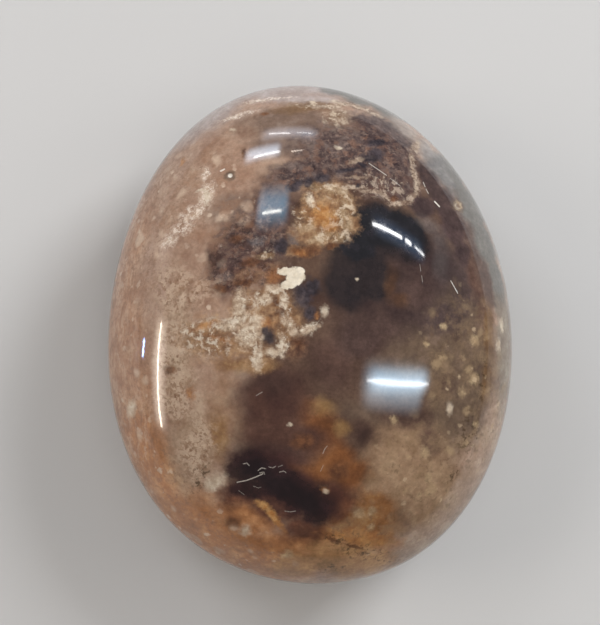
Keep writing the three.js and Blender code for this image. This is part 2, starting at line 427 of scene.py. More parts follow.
# The broad parts of the chalcedony, from the ones underneath to those on top.
BROAD = (
    # Pinkish brown along the left rim, and orange-tan along the near left one.
    Layer(
        ("#8E6750", "#A37C61", "#B69175"),
        ((-24.6, -1, 10, 2.6, 90), (-24, 10, 8, 2.2, 72), (-22.5, -10, 5, 2.6, 80)),
        0.5, 0.3, "mottle", 0.8,
    ),
    Layer(
        ("#906241", "#A67550", "#BB8E66"),
        ((-14, -26, 9, 4, -36), (-20.5, -17, 7, 2.4, -62), (-6, -29.5, 6, 3, -10)), 0.5, 0.4, "mottle",
    ),
    # Cream-pink at the near left, and tan beside the mauve clouds.
    Layer(
        ("#876E58", "#97806B", "#A4907A"), ((-15.6, -15.5, 5.5, 3, 80), (-17.6, -4, 7.5, 2.4, 90)),
        0.5, 0.5, "mottle", 0.85,
    ),
    Layer(
        ("#755841", "#876953", "#967D66"), ((-12, -11.5, 5.5, 1.9, 88), (-10.4, -13.5, 2.4, 1.4, 80)),
        0.6, 0.5, "mottle", 0.8,
    ),
    # Pale pink between the left rim and the grains.
    Layer(
        ("#9C8474", "#AE9585", "#BDA596"), ((-20.2, 5.4, 5, 1.6, 84), (-19.8, -6, 4, 1, 90)),
        0.6, 0.5, "mottle", 0.75,
    ),
    # Pink along the far end.
    Layer(
        ("#908079", "#9D8F89", "#AAA09C"),
        ((-4, 31.4, 9, 2.4, 0), (-13.6, 27.4, 6, 2, 38), (-2, 29.3, 5, 0.8, 0)), 0.5, 0.4, "mottle",
    ),
    # The brown body of the stone.
    Layer(
        ("#422F28", "#523E33", "#624D40"),
        ((4.5, 9, 15, 12, 0), (7, -6, 16.5, 12.5, 0), (4.5, -17.5, 15, 9, 0)), 0.22, 0.35, "cloud",
    ),
    # Brown under the pink at the far end, and a yellower band in it.
    Layer(
        ("#634F43", "#725E52", "#817065"),
        ((-3, 25.4, 7.6, 2.5, -2), (-5, 22.4, 4, 2, 8), (1.5, 23.5, 4, 3, 0)), 0.5, 0.5, "mottle",
    ),
    Layer(("#634A34", "#725840", "#826B51"), ((-1.5, 27.8, 3.8, 0.8, 4),), 0.6, 0.6, "mottle", 0.8),
    # Mauve-brown, speckled, between the far end and the crust, and darker to its right.
    Layer(
        ("#372B2C", "#4D3E3B", "#635550"),
        (
            (4.5, 20.8, 8.5, 4.6, -6), (8.5, 24.3, 4.6, 3, -22), (10.4, 19.6, 2.6, 4.5, 0),
            (-2.5, 18.2, 5, 2, 12), (9, 17, 3.5, 2, 0),
        ),
        0.35, 0.6, "fret",
    ),
    Layer(
        ("#2F2427", "#3F3131", "#524340"),
        ((9.4, 22.4, 2.8, 4, 12), (7.4, 25.4, 3.6, 1.1, -18), (6, 22.4, 2, 1.6, 0)),
        0.6, 0.7, "fret", 0.75,
    ),
    # Grey-mauve at the right, and brown outside it.
    Layer(
        ("#3A2E2D", "#473937", "#574744"),
        ((15.5, 4.6, 5.2, 6, 0), (17.5, 2, 4.5, 5, 0), (13, -0.5, 5, 2.6, 0)), 0.4, 0.4, "cloud",
    ),
    Layer(
        ("#422E27", "#533C33", "#654D42"),
        ((20.4, 7, 5, 1.6, 98), (19.4, 11, 3, 1.4, 104), (21, 1, 3, 1.2, 90)), 0.5, 0.5, "mottle", 0.9,
    ),
    # Tan-brown right of the middle.
    Layer(
        ("#4B3C34", "#5D4C3E", "#715D4F"),
        ((13.5, -4.4, 7, 3, -4), (19.4, -6.5, 7, 3.2, 86), (17.5, -12, 4, 4, 0)), 0.5, 0.5, "mottle", 0.9,
    ),
    # Olive-gold towards the near right.
    Layer(
        ("#745B44", "#886D56", "#9E846A"),
        ((11.5, -17.6, 6, 4.6, -8), (14.5, -21.5, 5.5, 4.4, -30), (8.5, -20.5, 4, 4, 0)),
        0.45, 0.4, "mottle",
    ),
    # Pink-grey along the near right rim.
    Layer(
        ("#806957", "#937B69", "#A7927F"),
        ((18.4, -23, 8, 2.4, 56), (22.6, -14, 6, 1.6, 76), (12.4, -28.2, 5, 1.8, 32)), 0.5, 0.5, "mottle",
    ),
    # Pale grey along the right rim, with an amber strip inside it.
    Layer(
        ("#645A51", "#776C60", "#8A8375"), ((24.4, -3, 8, 1.5, 90), (23.8, 3, 3, 1.1, 96)),
        0.4, 0.5, "mottle", 0.9,
    ),
    Layer(
        ("#563D29", "#6A4E33", "#7E6243"), ((21.7, -1.5, 4.6, 0.7, 91), (21.4, -7, 3, 0.7, 86)),
        0.6, 0.5, "mottle", 0.85,
    ),
    # Brown inside the grey band of the far right rim.
    Layer(
        ("#453733", "#57463F", "#6C5A51"),
        (
            (18.4, 16, 3.6, 1.8, -66), (20, 11, 3.8, 1.6, -74), (16.2, 19.6, 2.8, 1.4, -58),
            (21.6, 6, 3, 1.2, -80),
        ),
        0.5, 0.5, "mottle",
    ),
    # Grey-green chalcedony round the far right rim, paler outward, and the pale zone inside its bend.
    Layer(
        ("#605C58", "#66635F", "#716D68"),
        (
            (3.4, 31, 2.6, 1.3, -6), (6, 30.4, 3, 1.9, -12), (9.6, 28.9, 3, 1.8, -28),
            (17.6, 20, 3.4, 1.9, -58), (20.2, 15.6, 3.6, 2, -66), (22, 10.8, 3.6, 1.8, -72),
            (23.4, 6.4, 3, 1.3, -76),
        ),
        0.35, 0.2, "mottle",
    ),
    Layer(
        ("#888480", "#92908B", "#9E9A95"),
        (
            (7.4, 33.4, 4, 1.4, -12), (12.8, 31.8, 3.6, 1.9, -32), (17.4, 27.8, 3.8, 2.3, -46),
            (21.8, 22.4, 3.6, 2.6, -58), (24.6, 16.4, 3.8, 2.6, -68), (26.4, 10, 4, 2.3, -77),
            (27, 3.6, 3, 1.6, -84),
        ),
        0.5, 0.3, "mottle",
    ),
    Layer(
        ("#80746C", "#91867E", "#A19790"), ((11.8, 25.8, 2.6, 1.2, -36), (14.2, 24, 1.2, 0.8, -50)),
        0.6, 0.6, "mottle", 0.8,
    ),
    # Blue-grey and dark strips between that rim and the crust.
    Layer(
        ("#59565A", "#706D6B", "#868281"), ((15.2, 21.1, 3, 1.7, -62), (16.6, 18.8, 2, 1, -62)),
        0.6, 0.4, "mottle", 0.85,
    ),
    Layer(
        ("#2A2023", "#3A2D2D", "#4D3C3B"),
        (
            (14.2, 18.4, 2.8, 1.2, -66), (12.9, 14.6, 2, 1.5, -40), (15.9, 15.4, 2.8, 1.8, -66),
            (17.2, 12, 2.6, 1.7, -70), (18, 9, 2, 1.1, -75),
        ),
        0.35, 0.4, "mottle", 0.95,
    ),
    # Amber and orange-brown in the near half.
    Layer(
        ("#684326", "#7C5432", "#926D44"), ((5.2, -24.4, 5.2, 2.1, -8), (7.4, -22.8, 2.6, 1.6, -25)),
        0.5, 0.5, "mottle",
    ),
    Layer(
        ("#5A361D", "#754929", "#8E603A"),
        (
            (-0.6, -14.4, 3, 3.2, 10), (1, -17.6, 3.2, 2.8, 0), (-1.6, -11.8, 2, 1.5, 0),
            (4, -19, 2.4, 2, 0), (-2.6, -17, 1.4, 1.6, 0),
        ),
        0.5, 0.5, "cloud",
    ),
    Layer(
        ("#6A4F32", "#7F613D", "#92744D"), ((0.2, -10.9, 1.6, 1, 0), (2.4, -13.4, 1, 1, 0)),
        0.7, 0.6, "mottle", 0.7,
    ),
    # Orange-brown at the near end, left of the olive.
    Layer(
        ("#825638", "#9D6B45", "#BC885C"),
        ((-5, -28, 5, 2, -8), (-8.6, -24.4, 3.4, 1.8, -28), (-1.5, -27.4, 3, 1.4, 0)), 0.5, 0.5, "mottle",
    ),
    # Olive at the near end, and the amber band over it.
    Layer(
        ("#7F5E3B", "#9C744F", "#B78D5F"), ((4.5, -29.4, 7, 2.2, -6), (-2, -30, 4, 1.4, 5)),
        0.4, 0.5, "mottle",
    ),
    Layer(
        ("#74492A", "#8D5F38", "#A87A4B"), ((1.6, -26.2, 4, 0.9, -6), (7, -26.9, 4, 1.1, -10)),
        0.5, 0.6, "mottle",
    ),
    # Olive-grey and mauve soft clouds about the middle of the near half.
    Layer(("#514136", "#604E41", "#6F5C4D"), ((4.4, -11.4, 2.6, 1.1, -12),), 0.7, 0.5, "mottle", 0.8),
    Layer(
        ("#3C2622", "#493129", "#583E34"), ((-6, -10.6, 4.6, 4, 0), (-4.5, -14.6, 5.2, 2.3, -5)),
        0.45, 0.4, "cloud",
    ),
    Layer(
        ("#32221E", "#402D28", "#503A33"),
        (
            (-6, -8.4, 2.8, 1.6, 5), (-6.6, -16, 3, 1.1, -5), (-3.2, -16.6, 2.2, 1, -15),
            (1.2, -5.8, 2.9, 3, 0), (10.2, -12.2, 3.2, 1.2, 0), (4.6, -14.4, 0.9, 1.8, 0),
            (5.2, -3.4, 2.4, 1.6, 0), (13.6, -15, 1.6, 1.2, 0),
        ),
        0.6, 0.5, "cloud", 0.85,
    ),
    # Grey-mauve left of the middle, with a soft grey edge.
    Layer(("#5E4D45", "#68584F", "#726258"), ((-11.4, 13.8, 2.6, 1.7, 0),), 0.6, 0.4, "cloud", 0.8),
    Layer(
        ("#332727", "#463432", "#5B4941"),
        (
            (-8.6, 8.6, 4.8, 3.8, 22), (-6.6, 13.6, 3, 2.8, 0), (-11.2, 5, 3, 2.6, 10),
            (-12.4, 7.4, 1.6, 2.4, 0),
        ),
        0.45, 0.6, "fret",
    ),
    Layer(
        ("#2B1E1E", "#392824", "#48352F"),
        ((-13.2, 7.2, 0.9, 1.5, 0), (-10.4, 9.4, 1, 0.8, 0), (-9.4, 11.6, 2, 0.8, 10)),
        0.7, 0.5, "mottle", 0.8,
    ),
    # Blue-grey spots in the mauve part: painted bluish reflections of light on the polish.
    Layer(
        ("#4B484C", "#5E5C5D", "#767172"),
        (
            (-7.9, 9.4, 1.1, 0.6, 0), (-3.5, 9.6, 0.6, 1.4, 0), (-8.8, 12.9, 0.35, 0.6, 0),
            (-11.6, 5, 0.7, 0.5, 0),
        ),
        0.7, 0.8, "fret", 0.7,
    ),
    # Brown with pinkish grains, under the crust at the left of the middle.
    Layer(
        ("#4E362C", "#694C3A", "#80644E"),
        (
            (-6.2, 5.6, 1.7, 1.2, 0), (-9, 5, 2.4, 1.2, 8), (-6, 0.6, 2.6, 2.6, 0),
            (-3.4, -3.6, 1.4, 1.6, 0),
        ),
        0.5, 0.7, "fret", 0.9,
    ),
    # Soft cream-yellow orbs in the near right part.
    Layer(
        ("#8F7A5E", "#A89070", "#BBA682"),
        (
            (19.5, -2.2, 0.68, 0.59, 0), (5, -23.7, 0.68, 0.59, 0), (6.6, -23.5, 0.51, 0.51, 0),
            (13, -16.2, 0.59, 0.59, 0), (15.3, -0.7, 0.42, 0.42, 0), (13, -3, 0.34, 0.34, 0),
            (19.5, -7, 0.68, 0.68, 0), (13.6, -19.4, 0.51, 0.51, 0), (0.6, -20.8, 0.59, 0.42, 0),
            (17.8, -8.8, 0.42, 0.51, 0), (20, -12.6, 0.42, 0.42, 0), (9, -12.4, 0.42, 0.42, 0),
            (12.6, -21.4, 0.34, 0.34, 0), (6.6, -25.4, 0.42, 0.42, 0), (15, -4.6, 0.34, 0.34, 0),
            (-3.6, -28.8, 0.68, 0.51, 0),
        ),
        0.7, 0.8, "fret", 0.68,
    ),
    # Gold below the crust and beside the near dark patch.
    Layer(
        ("#6B4A2E", "#82603C", "#977854"),
        ((-10.4, -6, 3, 0.9, -5), (-7.4, -6.3, 1.8, 0.8, 5), (-12.4, -14.4, 1.2, 2.6, 5)),
        0.6, 0.6, "mottle", 0.75,
    ),
)

# The dark agate, black-brown and see-through at its edges.
DARKS = (
    Layer(
        ("#302323", "#41312D", "#523F3A"),
        (
            (7, 0.5, 5.5, 4.2, 0), (4.6, -2, 3, 2.5, 0), (11, 6, 4, 5, 0), (3.6, 3.2, 3.4, 4, 0),
            (8.4, 5, 5, 4.5, 0),
        ),
        0.45, 0.4, "cloud", 0.95,
    ),
    Layer(
        ("#161316", "#1F1B1E", "#2A2324"),
        (
            (7.8, 11, 5, 3.4, -12), (11.2, 9.8, 2.6, 2.8, -20), (4.6, 7.4, 4, 3.8, 0),
            (3, 4.2, 2.9, 3.2, 0), (6.2, 4.6, 3.2, 2.8, 0),
        ),
        0.3, 0.35, "mottle", 0.9,
    ),
    # The blackest agate round the far right tube's reflection: partly the agate's own black, partly a
    # painted dark blue-black reflection round that highlight.
    Layer(
        ("#131419", "#1A1B20", "#26242B"),
        ((7.6, 11.6, 4, 2.5, -10), (10.8, 10.8, 2.6, 1.9, -30), (4.4, 9.4, 2.4, 2.4, 0)),
        0.18, 0.3, "mottle", 0.85,
    ),
    # A brown glint in it, and the grey curl over its right shoulder.
    Layer(
        ("#3C281E", "#503727", "#664933"), ((8.5, 4, 0.7, 2, -6), (9.4, 2.4, 1.2, 0.8, 0)),
        0.8, 0.5, "mottle", 0.75,
    ),
    Layer(
        ("#463E3D", "#544A48", "#655A56"),
        ((13.8, 12, 1.8, 0.7, -38), (15.2, 10, 1.8, 0.9, -62), (15.4, 7.4, 2, 1, -80)),
        0.7, 0.5, "cloud", 0.75,
    ),
    # The near dark patch, with a brown fringe.
    Layer(
        ("#371E18", "#4A2920", "#633A2A"),
        (
            (-6, -22.6, 4.4, 2.1, -22), (1.8, -22.6, 2.8, 2.3, -10), (-1.6, -25.8, 2.8, 1.6, 0),
            (-10, -21.6, 2.4, 1.6, 0),
        ),
        0.5, 0.5, "mottle", 0.85,
    ),
    Layer(
        ("#2C1918", "#392020", "#492B29"),
        ((-6.6, -17.4, 4.4, 1.7, -12), (-2.2, -19.6, 3, 1.6, -30), (0.8, -22.6, 2.2, 1.9, 0)),
        0.6, 0.5, "cloud", 0.85,
    ),
    Layer(
        ("#1A0E10", "#241416", "#331E20"),
        (
            (-8.8, -18.4, 2.6, 2.4, 0), (-6, -19.7, 3.2, 2.3, -20), (-2.8, -21.7, 3.3, 2.5, -28),
            (-0.4, -23.5, 2.1, 2, -10), (-9.9, -18.4, 1.3, 1.7, 0), (-8.6, -20.8, 2.2, 1.3, 0),
        ),
        0.35, 0.7, "mottle", 0.93,
    ),
    Layer(
        ("#120B0E", "#180F13", "#20171B"),
        ((-7.6, -18.8, 2.2, 1.2, -15), (-4.6, -20.6, 2.4, 1.4, -30), (-1.8, -22.4, 2, 1.3, -30)),
        0.5, 0.5, "mottle", 0.8,
    ),
)

# Grounds of the crusts, and the stains and specks in them.
CRUST_GROUNDS = (
    Layer(
        ("#6E5039", "#8A6A4E", "#A48564"),
        (
            (-13.6, -2.4, 3.2, 2.3, 0), (-11.2, -3.6, 2.8, 1.7, 0), (-9, 0, 2.2, 3.2, 0),
            (-4.6, -0.2, 2, 3, 0), (-8, -4.2, 1.8, 2.2, 0), (-6.6, 2.4, 2, 1.2, 0),
            (1.2, 13.4, 2.7, 3.6, -10), (-0.8, 10.4, 2.8, 1.7, 0), (-1.6, 13.4, 1.2, 1.9, 0),
            (0.6, 16.3, 2.6, 0.9, 0), (-3.4, 8.2, 1.2, 0.7, 0), (3.8, 11.8, 1, 1.2, 0),
        ),
        0.5, 0.9, "fret", 0.85,
    ),
    # Orange, glowing softly behind the crust.
    Layer(
        ("#7F502A", "#9A6838", "#B38553"), ((-0.1, 12.9, 1.5, 1.3, 0), (1.1, 11.7, 1, 1.3, 0)),
        0.7, 0.6, "fret", 0.85,
    ),
    # Pale crust, greyer along the edge of the mauve part.
    Layer(
        ("#9C8771", "#B7A590", "#CDC0AD"),
        (
            (-10, 0.7, 0.8, 2.1, 0), (-9, -2.2, 1.4, 1.5, 10), (-7.9, -5, 0.6, 1.4, 0),
            (-7, 2.2, 1.3, 0.6, 20), (-4.7, 1.8, 0.4, 1.2, 0), (-4.2, -0.9, 0.5, 1.1, 35),
            (-5, -3.6, 0.5, 1.3, 0), (-1.8, -1.5, 1.1, 0.5, 15), (-11.4, -1, 1.2, 0.7, -10),
            (-8.2, -0.6, 0.9, 0.9, 0), (-3.4, -2, 0.5, 0.9, 30), (-6.2, -4.4, 0.9, 0.5, 0),
            (-5.8, 3.4, 1, 0.5, 0), (-1.4, 14.6, 0.4, 1, 5),
        ),
        0.55, 1.0, "fret", 0.85,
    ),
    Layer(
        ("#775F45", "#927A5F", "#AC987E"),
        (
            (-1.9, 11, 0.8, 0.4, 30), (2.7, 13.2, 0.5, 1.8, -5), (1.6, 16, 1.4, 0.5, 0),
            (3.2, 11.4, 0.6, 0.9, 0), (1, 10.2, 1.3, 0.5, 0), (-0.6, 16.4, 1, 0.4, 0),
            (2.2, 9.8, 0.8, 0.4, 20), (-0.6, 9.6, 1, 0.4, 10), (-7, 7.5, 1, 0.4, 0),
        ),
        0.6, 1.0, "fret", 0.8,
    ),
    Layer(
        ("#7E6A5A", "#9B8876", "#B5A592"),
        (
            (4.2, 16.5, 1.7, 0.29, 0), (6.6, 16.1, 1.5, 0.29, 0), (8.5, 15.3, 1.1, 0.29, -30),
            (10.2, 14.8, 1.4, 0.32, 10), (11.7, 15.7, 1, 0.32, 55), (12.4, 17, 1.1, 0.29, 80),
            (12.1, 18.9, 1.2, 0.29, 95), (12, 20.8, 1.2, 0.29, 88), (12.7, 22.9, 1.3, 0.43, 60),
            (5, 20.3, 1.6, 0.25, 20), (2.7, 26.8, 1.1, 1.5, 10), (3.4, 28.7, 1.7, 0.29, -10),
            (0.6, 27.9, 1.9, 0.25, 0), (6, 28.2, 1.3, 0.25, -20), (7.6, 27.4, 1, 0.25, -20),
            (4.6, 17.8, 1.2, 0.22, 0),
        ),
        0.5, 1.2, "fret", 0.8,
    ),
)

OVER_CRUSTS = (
    # Dark rims round the two pits.
    Layer(
        ("#54453A", "#665548", "#786657"), ((-11.15, 18.1, 0.72, 0.66, 0), (18, 15.3, 1.0, 0.95, 0)),
        0.3, 0.2, "fret", 0.8,
    ),
    # The pale ring in the right pit.
    Layer(("#8A7862", "#A08E78", "#B3A28B"), ((18, 15.3, 0.66, 0.62, 0),), 0.3, 0.3, "fret", 0.85),
    # Iron stains, from dark red-brown to rust.
    Layer(
        ("#40261D", "#563724", "#6E472E"),
        (
            (-10.5, 9.7, 0.8, 0.5, 0), (-12.4, 3.6, 0.9, 0.6, 0), (-8.6, 6.8, 1.4, 0.5, 10),
            (-9.6, 4.2, 1.4, 0.4, 0), (2.2, -18.6, 1.4, 1, 0), (-2.4, -15.2, 1.4, 0.9, 0),
            (-3, -3.2, 0.6, 0.9, 0), (-1.8, 8.2, 1.6, 0.6, 8), (-10.5, -24.8, 1, 0.7, 0),
            (-5.8, 1.9, 0.5, 0.9, 0), (-9, 1.2, 0.5, 0.35, 0), (1, 8.8, 1, 0.35, 20),
            (-18.4, -6.2, 0.9, 0.5, 0), (-9.4, 21.2, 0.3, 0.7, 0), (9.2, 15.3, 0.5, 0.4, 0),
            (-5.2, 0.6, 0.4, 0.6, 0), (18.05, 15.25, 0.3, 0.26, 0), (0, -26.3, 1, 0.18, -10),
            (1.8, -26.9, 1, 0.18, -25), (4.6, -27.8, 1.4, 0.16, -12), (-6.6, 26.8, 0.5, 0.3, 0),
        ),
        0.6, 0.7, "fret", 0.8,
    ),
    Layer(
        ("#74492A", "#905F38", "#A97A4C"),
        (
            (-2.6, 7.8, 1, 0.4, -15), (-5.9, 4.9, 0.9, 0.9, 0), (-6.8, -0.8, 0.7, 0.6, 0),
            (-14.4, -1, 1.6, 0.3, 15), (-12.6, -2.6, 1.6, 0.3, -20), (-16, -9.3, 0.5, 0.7, 20),
            (0.6, -20.9, 0.6, 0.3, 0), (-0.8, 0.1, 0.4, 0.4, 0), (-17, 20.8, 0.6, 0.2, 60),
        ),
        0.7, 0.7, "fret", 0.65,
    ),
    # Blue-black specks in a broken line, the corner beside the cream patch, and the hole in the net.
    Layer(
        ("#201E24", "#2E2A30", "#443D42"),
        (
            (7.4, 22.9, 1.3, 0.6, 10), (7.3, 21.2, 0.9, 0.8, 0), (6.3, 20.6, 1, 0.6, 0),
            (5.3, 19.6, 0.7, 0.35, -10), (3.4, 18.8, 1.4, 0.3, 10), (0.2, 17.6, 1.1, 0.7, 0),
            (-1.5, 16.9, 0.6, 0.8, 0), (-3.2, 16.6, 1.2, 0.6, 30), (4.8, 16.8, 0.35, 0.35, 0),
            (-2.4, 2.4, 1.3, 1.6, 0), (-1.6, 0.4, 0.7, 0.9, 0), (-1.3, 3.6, 1, 1.1, 0),
            (-6.6, -2.6, 0.8, 0.9, 15), (-7, -1.9, 0.4, 0.5, 0), (-5, 8.8, 0.8, 1, 0),
        ),
        0.5, 0.8, "fret", 0.88,
    ),
    # Solid cream.
    Layer(
        ("#BFB19D", "#CABFAC", "#D3C9B8"),
        (
            (-3.4, 5, 1.2, 1.1, -20), (-4.6, 5.6, 0.9, 0.6, 0), (-4.1, 3.9, 1, 0.6, 10),
            (-2.7, 5.7, 0.6, 0.5, 0),
        ),
        0.14, 0.4, "fret",
    ),
    # Small soft cream marks all over the crown, and an ochre flash in the near dark patch.
    Layer(
        ("#A79580", "#B8A894", "#C8BCA9"),
        (
            (-12.7, -19.8, 1.2, 0.8, 15), (2.4, 21.9, 0.4, 0.22, -10), (-13.3, -20.6, 0.7, 0.5, 0),
            (-8.9, -25.8, 0.7, 0.6, 0), (0.2, 0.7, 0.4, 0.6, 10), (-23.1, -10.6, 1, 0.5, 80),
            (-3.9, -13.1, 0.3, 0.25, 0), (4.3, 4.7, 0.2, 0.18, 0), (-10.7, 24.7, 0.4, 0.2, 0),
            (16.2, -10.8, 0.4, 0.7, 0), (0.7, -21, 0.4, 0.25, 0), (-14.1, 15.6, 0.4, 1, 0),
            (-14.8, 16.4, 0.7, 0.15, 20), (23.2, -2.4, 0.3, 0.8, 0), (23.8, 0.2, 0.25, 0.8, 0),
        ),
        0.7, 0.4, "fret", 0.8,
    ),
    Layer(
        ("#935F2F", "#AD7842", "#C3965F"), ((-5.4, -24.3, 1.9, 0.4, -50), (-6.9, -22.8, 0.9, 0.4, -25)),
        0.6, 0.6, "fret", 0.8,
    ),
)

# The underside, which the photo doesn't show: the kinds of marking of the crown, carried on round the rim.
UNDERSIDE = (
    # Brown clouds.
    Layer(
        ("#5A463A", "#6E584A", "#82705F"),
        (
            (12, -4, 9, 10, 0), (16, -16, 8, 5, -40), (4, -20, 9, 6, 0), (2, 16, 7, 5, 10),
            (-21.5, 1, 5, 2.2, 86), (-12.5, 24, 4.5, 2.4, 40), (-15.5, -22.5, 4, 2, -45),
        ),
        0.4, 0.5, "cloud", 0.85, -1,
    ),
    # Rose-tan at the left.
    Layer(
        ("#7C5B45", "#93705A", "#A98A72"),
        ((-19, -12, 8, 4, -70), (-20, 10, 8, 3, 75), (-10, -24, 7, 3, -30)), 0.5, 0.5, "mottle", 0.8, -1,
    ),
    # Grey chalcedony along the right and far rim.
    Layer(
        ("#6C6D6A", "#7B7C78", "#8D8E89"),
        ((18, 17, 6, 3, -58), (22.6, 7, 5, 2, -76), (7, 26.5, 6, 2.6, -14), (20, -17, 6, 2, 58)),
        0.5, 0.5, "mottle", 0.85, -1,
    ),
    # Dark agate.
    Layer(
        ("#2B2425", "#3A3131", "#4C413D"),
        (
            (14.5, 5, 5, 5, 20), (8, 9, 3.6, 2.6, 0), (17.5, -6, 3, 2, 60), (-9, 17, 4.6, 2.6, 25),
            (-5, -17, 4, 2.4, -15), (23.4, 3.4, 3, 1.6, 86),
        ),
        0.4, 0.6, "mottle", 0.88, -1,
    ),
    # Amber.
    Layer(
        ("#74492A", "#8D5F38", "#A87A4B"),
        (
            (-8, -13, 4, 2.4, 0), (4, -26, 4.6, 2, -8), (12, 15.6, 2.6, 1.2, -30),
            (-20.6, -12.4, 3, 1.5, -66),
        ),
        0.6, 0.6, "mottle", 0.8, -1,
    ),
    # A winding pale crust, and the ends of pale bands at the rim.
    Layer(
        ("#9C8771", "#B7A590", "#CDC0AD"),
        (
            (-16, 9, 3, 0.9, -25), (-13, 6.4, 2.6, 0.8, -40), (-11, 2.6, 2.8, 0.8, -60),
            (-8.4, -1.4, 2.8, 0.9, -50), (-4.4, -5, 2.6, 0.8, -35), (0.6, -8, 3, 0.9, -25),
            (5.6, -12, 3.4, 0.8, -45), (9, -17, 3, 0.8, -60), (-19.4, 12, 2.4, 0.7, -40),
            (10.6, -22, 2.6, 0.7, -70), (-23, 7, 2.4, 0.8, 70), (-21.6, 12.6, 2, 0.7, 56),
            (-18.4, 17.6, 2.2, 0.8, 42), (23.6, -4, 2.6, 0.8, 84), (21.4, -11, 2.6, 0.8, 62),
            (-9, -28, 2.4, 0.8, -20),
        ),
        0.55, 1.0, "fret", 0.8, -1,
    ),
)

# Where the grains lie.
GRAIN_ZONES = {
    "crust": Zone(0.5, 1.1, "mottle", (
        (-10, 0.6, 1.2, 2.2, 0), (-9, -2.2, 1.8, 1.8, 0), (-8.1, -4.6, 1, 1.8, 10),
        (-12, -1.4, 2, 1.2, -10), (-13.8, -2.8, 2.6, 1.7, 0), (-15.4, -2, 1.6, 1.6, 0),
        (-6.8, 2.4, 1.8, 0.9, 20), (-4.8, 1.6, 0.8, 1.6, 0), (-4.4, -0.9, 0.9, 1.2, 20),
        (-4.8, -3.4, 0.8, 1.5, 0), (-2, -1.5, 1.3, 0.8, 10),
    )),
    "upper crust": Zone(0.5, 1.1, "mottle", (
        (2.2, 13.4, 1.6, 3.2, -10), (1.2, 16.3, 2.4, 0.9, 0), (0.8, 10.2, 2.6, 1.1, 0),
        (-2.2, 13, 1.4, 2.2, 0), (2.4, 26.8, 1.6, 1.6, 0), (0.6, 28.2, 3, 0.7, 0), (-7, 7.5, 1.4, 0.6, 0),
    )),
    "lace": Zone(0.6, 0.9, "mottle", (
        (5.4, 16.3, 2.6, 0.7, 0), (8.8, 15.3, 1.4, 0.7, -20), (11, 15.2, 1.4, 0.6, 30),
        (12.3, 18, 0.7, 2, 5), (12.2, 21.6, 0.8, 1.8, 0), (5.4, 28.3, 2.6, 0.6, -15),
        (8, 17, 3.4, 1.4, 0),
    )),
    "mauve": Zone(0.6, 0.6, "mottle", (
        (5, 21, 7, 4.6, -8), (-2, 18, 4, 2, 10), (-8.4, 9.4, 4.6, 4, 20), (-11, 5.4, 3, 2.4, 0),
        (-8, 5, 4, 1.6, 5),
    )),
    "granules": Zone(0.6, 0.7, "mottle", (
        (-18.3, 3.6, 3.4, 2.2, 90), (-18, -3.6, 4, 2, 90), (-17.4, -9.5, 4, 2.2, 90),
        (-14.4, -3.4, 2.4, 2, 0), (-15, -16, 4.4, 2.2, 80), (-15.6, 3, 3, 2, 0),
    )),
    "left": Zone(0.5, 0.5, "cloud", (
        (-22.4, 9, 14, 3.4, 80), (-22.8, -10, 9, 2.8, 82), (-18.6, -19.5, 7, 3, -60),
        (-11, -27, 8, 3, -30), (-14, 16, 6, 8, 0), (-16, 0, 8, 4, 90),
    )),
    "left rim": Zone(0.7, 0.4, "cloud", (
        (-24.6, 0, 16, 2.2, 90), (-22.6, 13, 7, 1.6, 66), (-22.6, -13, 7, 1.8, 100),
    )),
    "clear": Zone(0.5, 0.5, "cloud", (
        (17.5, -5, 8, 5.6, 90), (13.5, -19, 8, 6.4, -40), (5, -25.5, 6, 3, 0), (21, -11, 8, 3, 80),
    )),
    "moss": Zone(0.5, 0.7, "mottle", (
        (19, -13.5, 3, 1.5, 80), (20.6, -7, 3, 0.8, 88), (2, -26.9, 1.8, 0.4, -10),
        (6.5, -28.6, 4.4, 1, -12), (2, -30.4, 2, 0.6, 0), (17, -18.6, 1.6, 0.8, 60),
        (-14.6, -19.6, 2, 1, 60),
    )),
    "underside": Zone(0.5, 0.5, "cloud", (
        (-16, -4, 8, 18, 0), (0, 14, 12, 12, 0), (4, -14, 12, 12, 0), (17, 2, 8, 16, 0),
    ), -1),
    "underside crust": Zone(0.6, 1.1, "mottle", (
        (-14, 7, 6, 1.6, -32), (-8, -1, 6, 1.8, -50), (1, -8, 5, 1.5, -28), (8, -16, 6, 1.5, -55),
    ), -1),
    "streak": Zone(0.6, 0.7, "fret", (
        (-14.1, 15.8, 1.5, 0.8, 70), (-15.7, 13.5, 1.7, 0.8, 25), (-17.2, 11.5, 1.3, 0.8, 20),
        (-18.7, 10, 1, 0.7, 35), (-14.2, 18.4, 0.8, 0.4, 80), (-10, 26.8, 2.2, 0.3, 15),
        (-6, 29.2, 2.8, 0.22, 5),
    )),
}

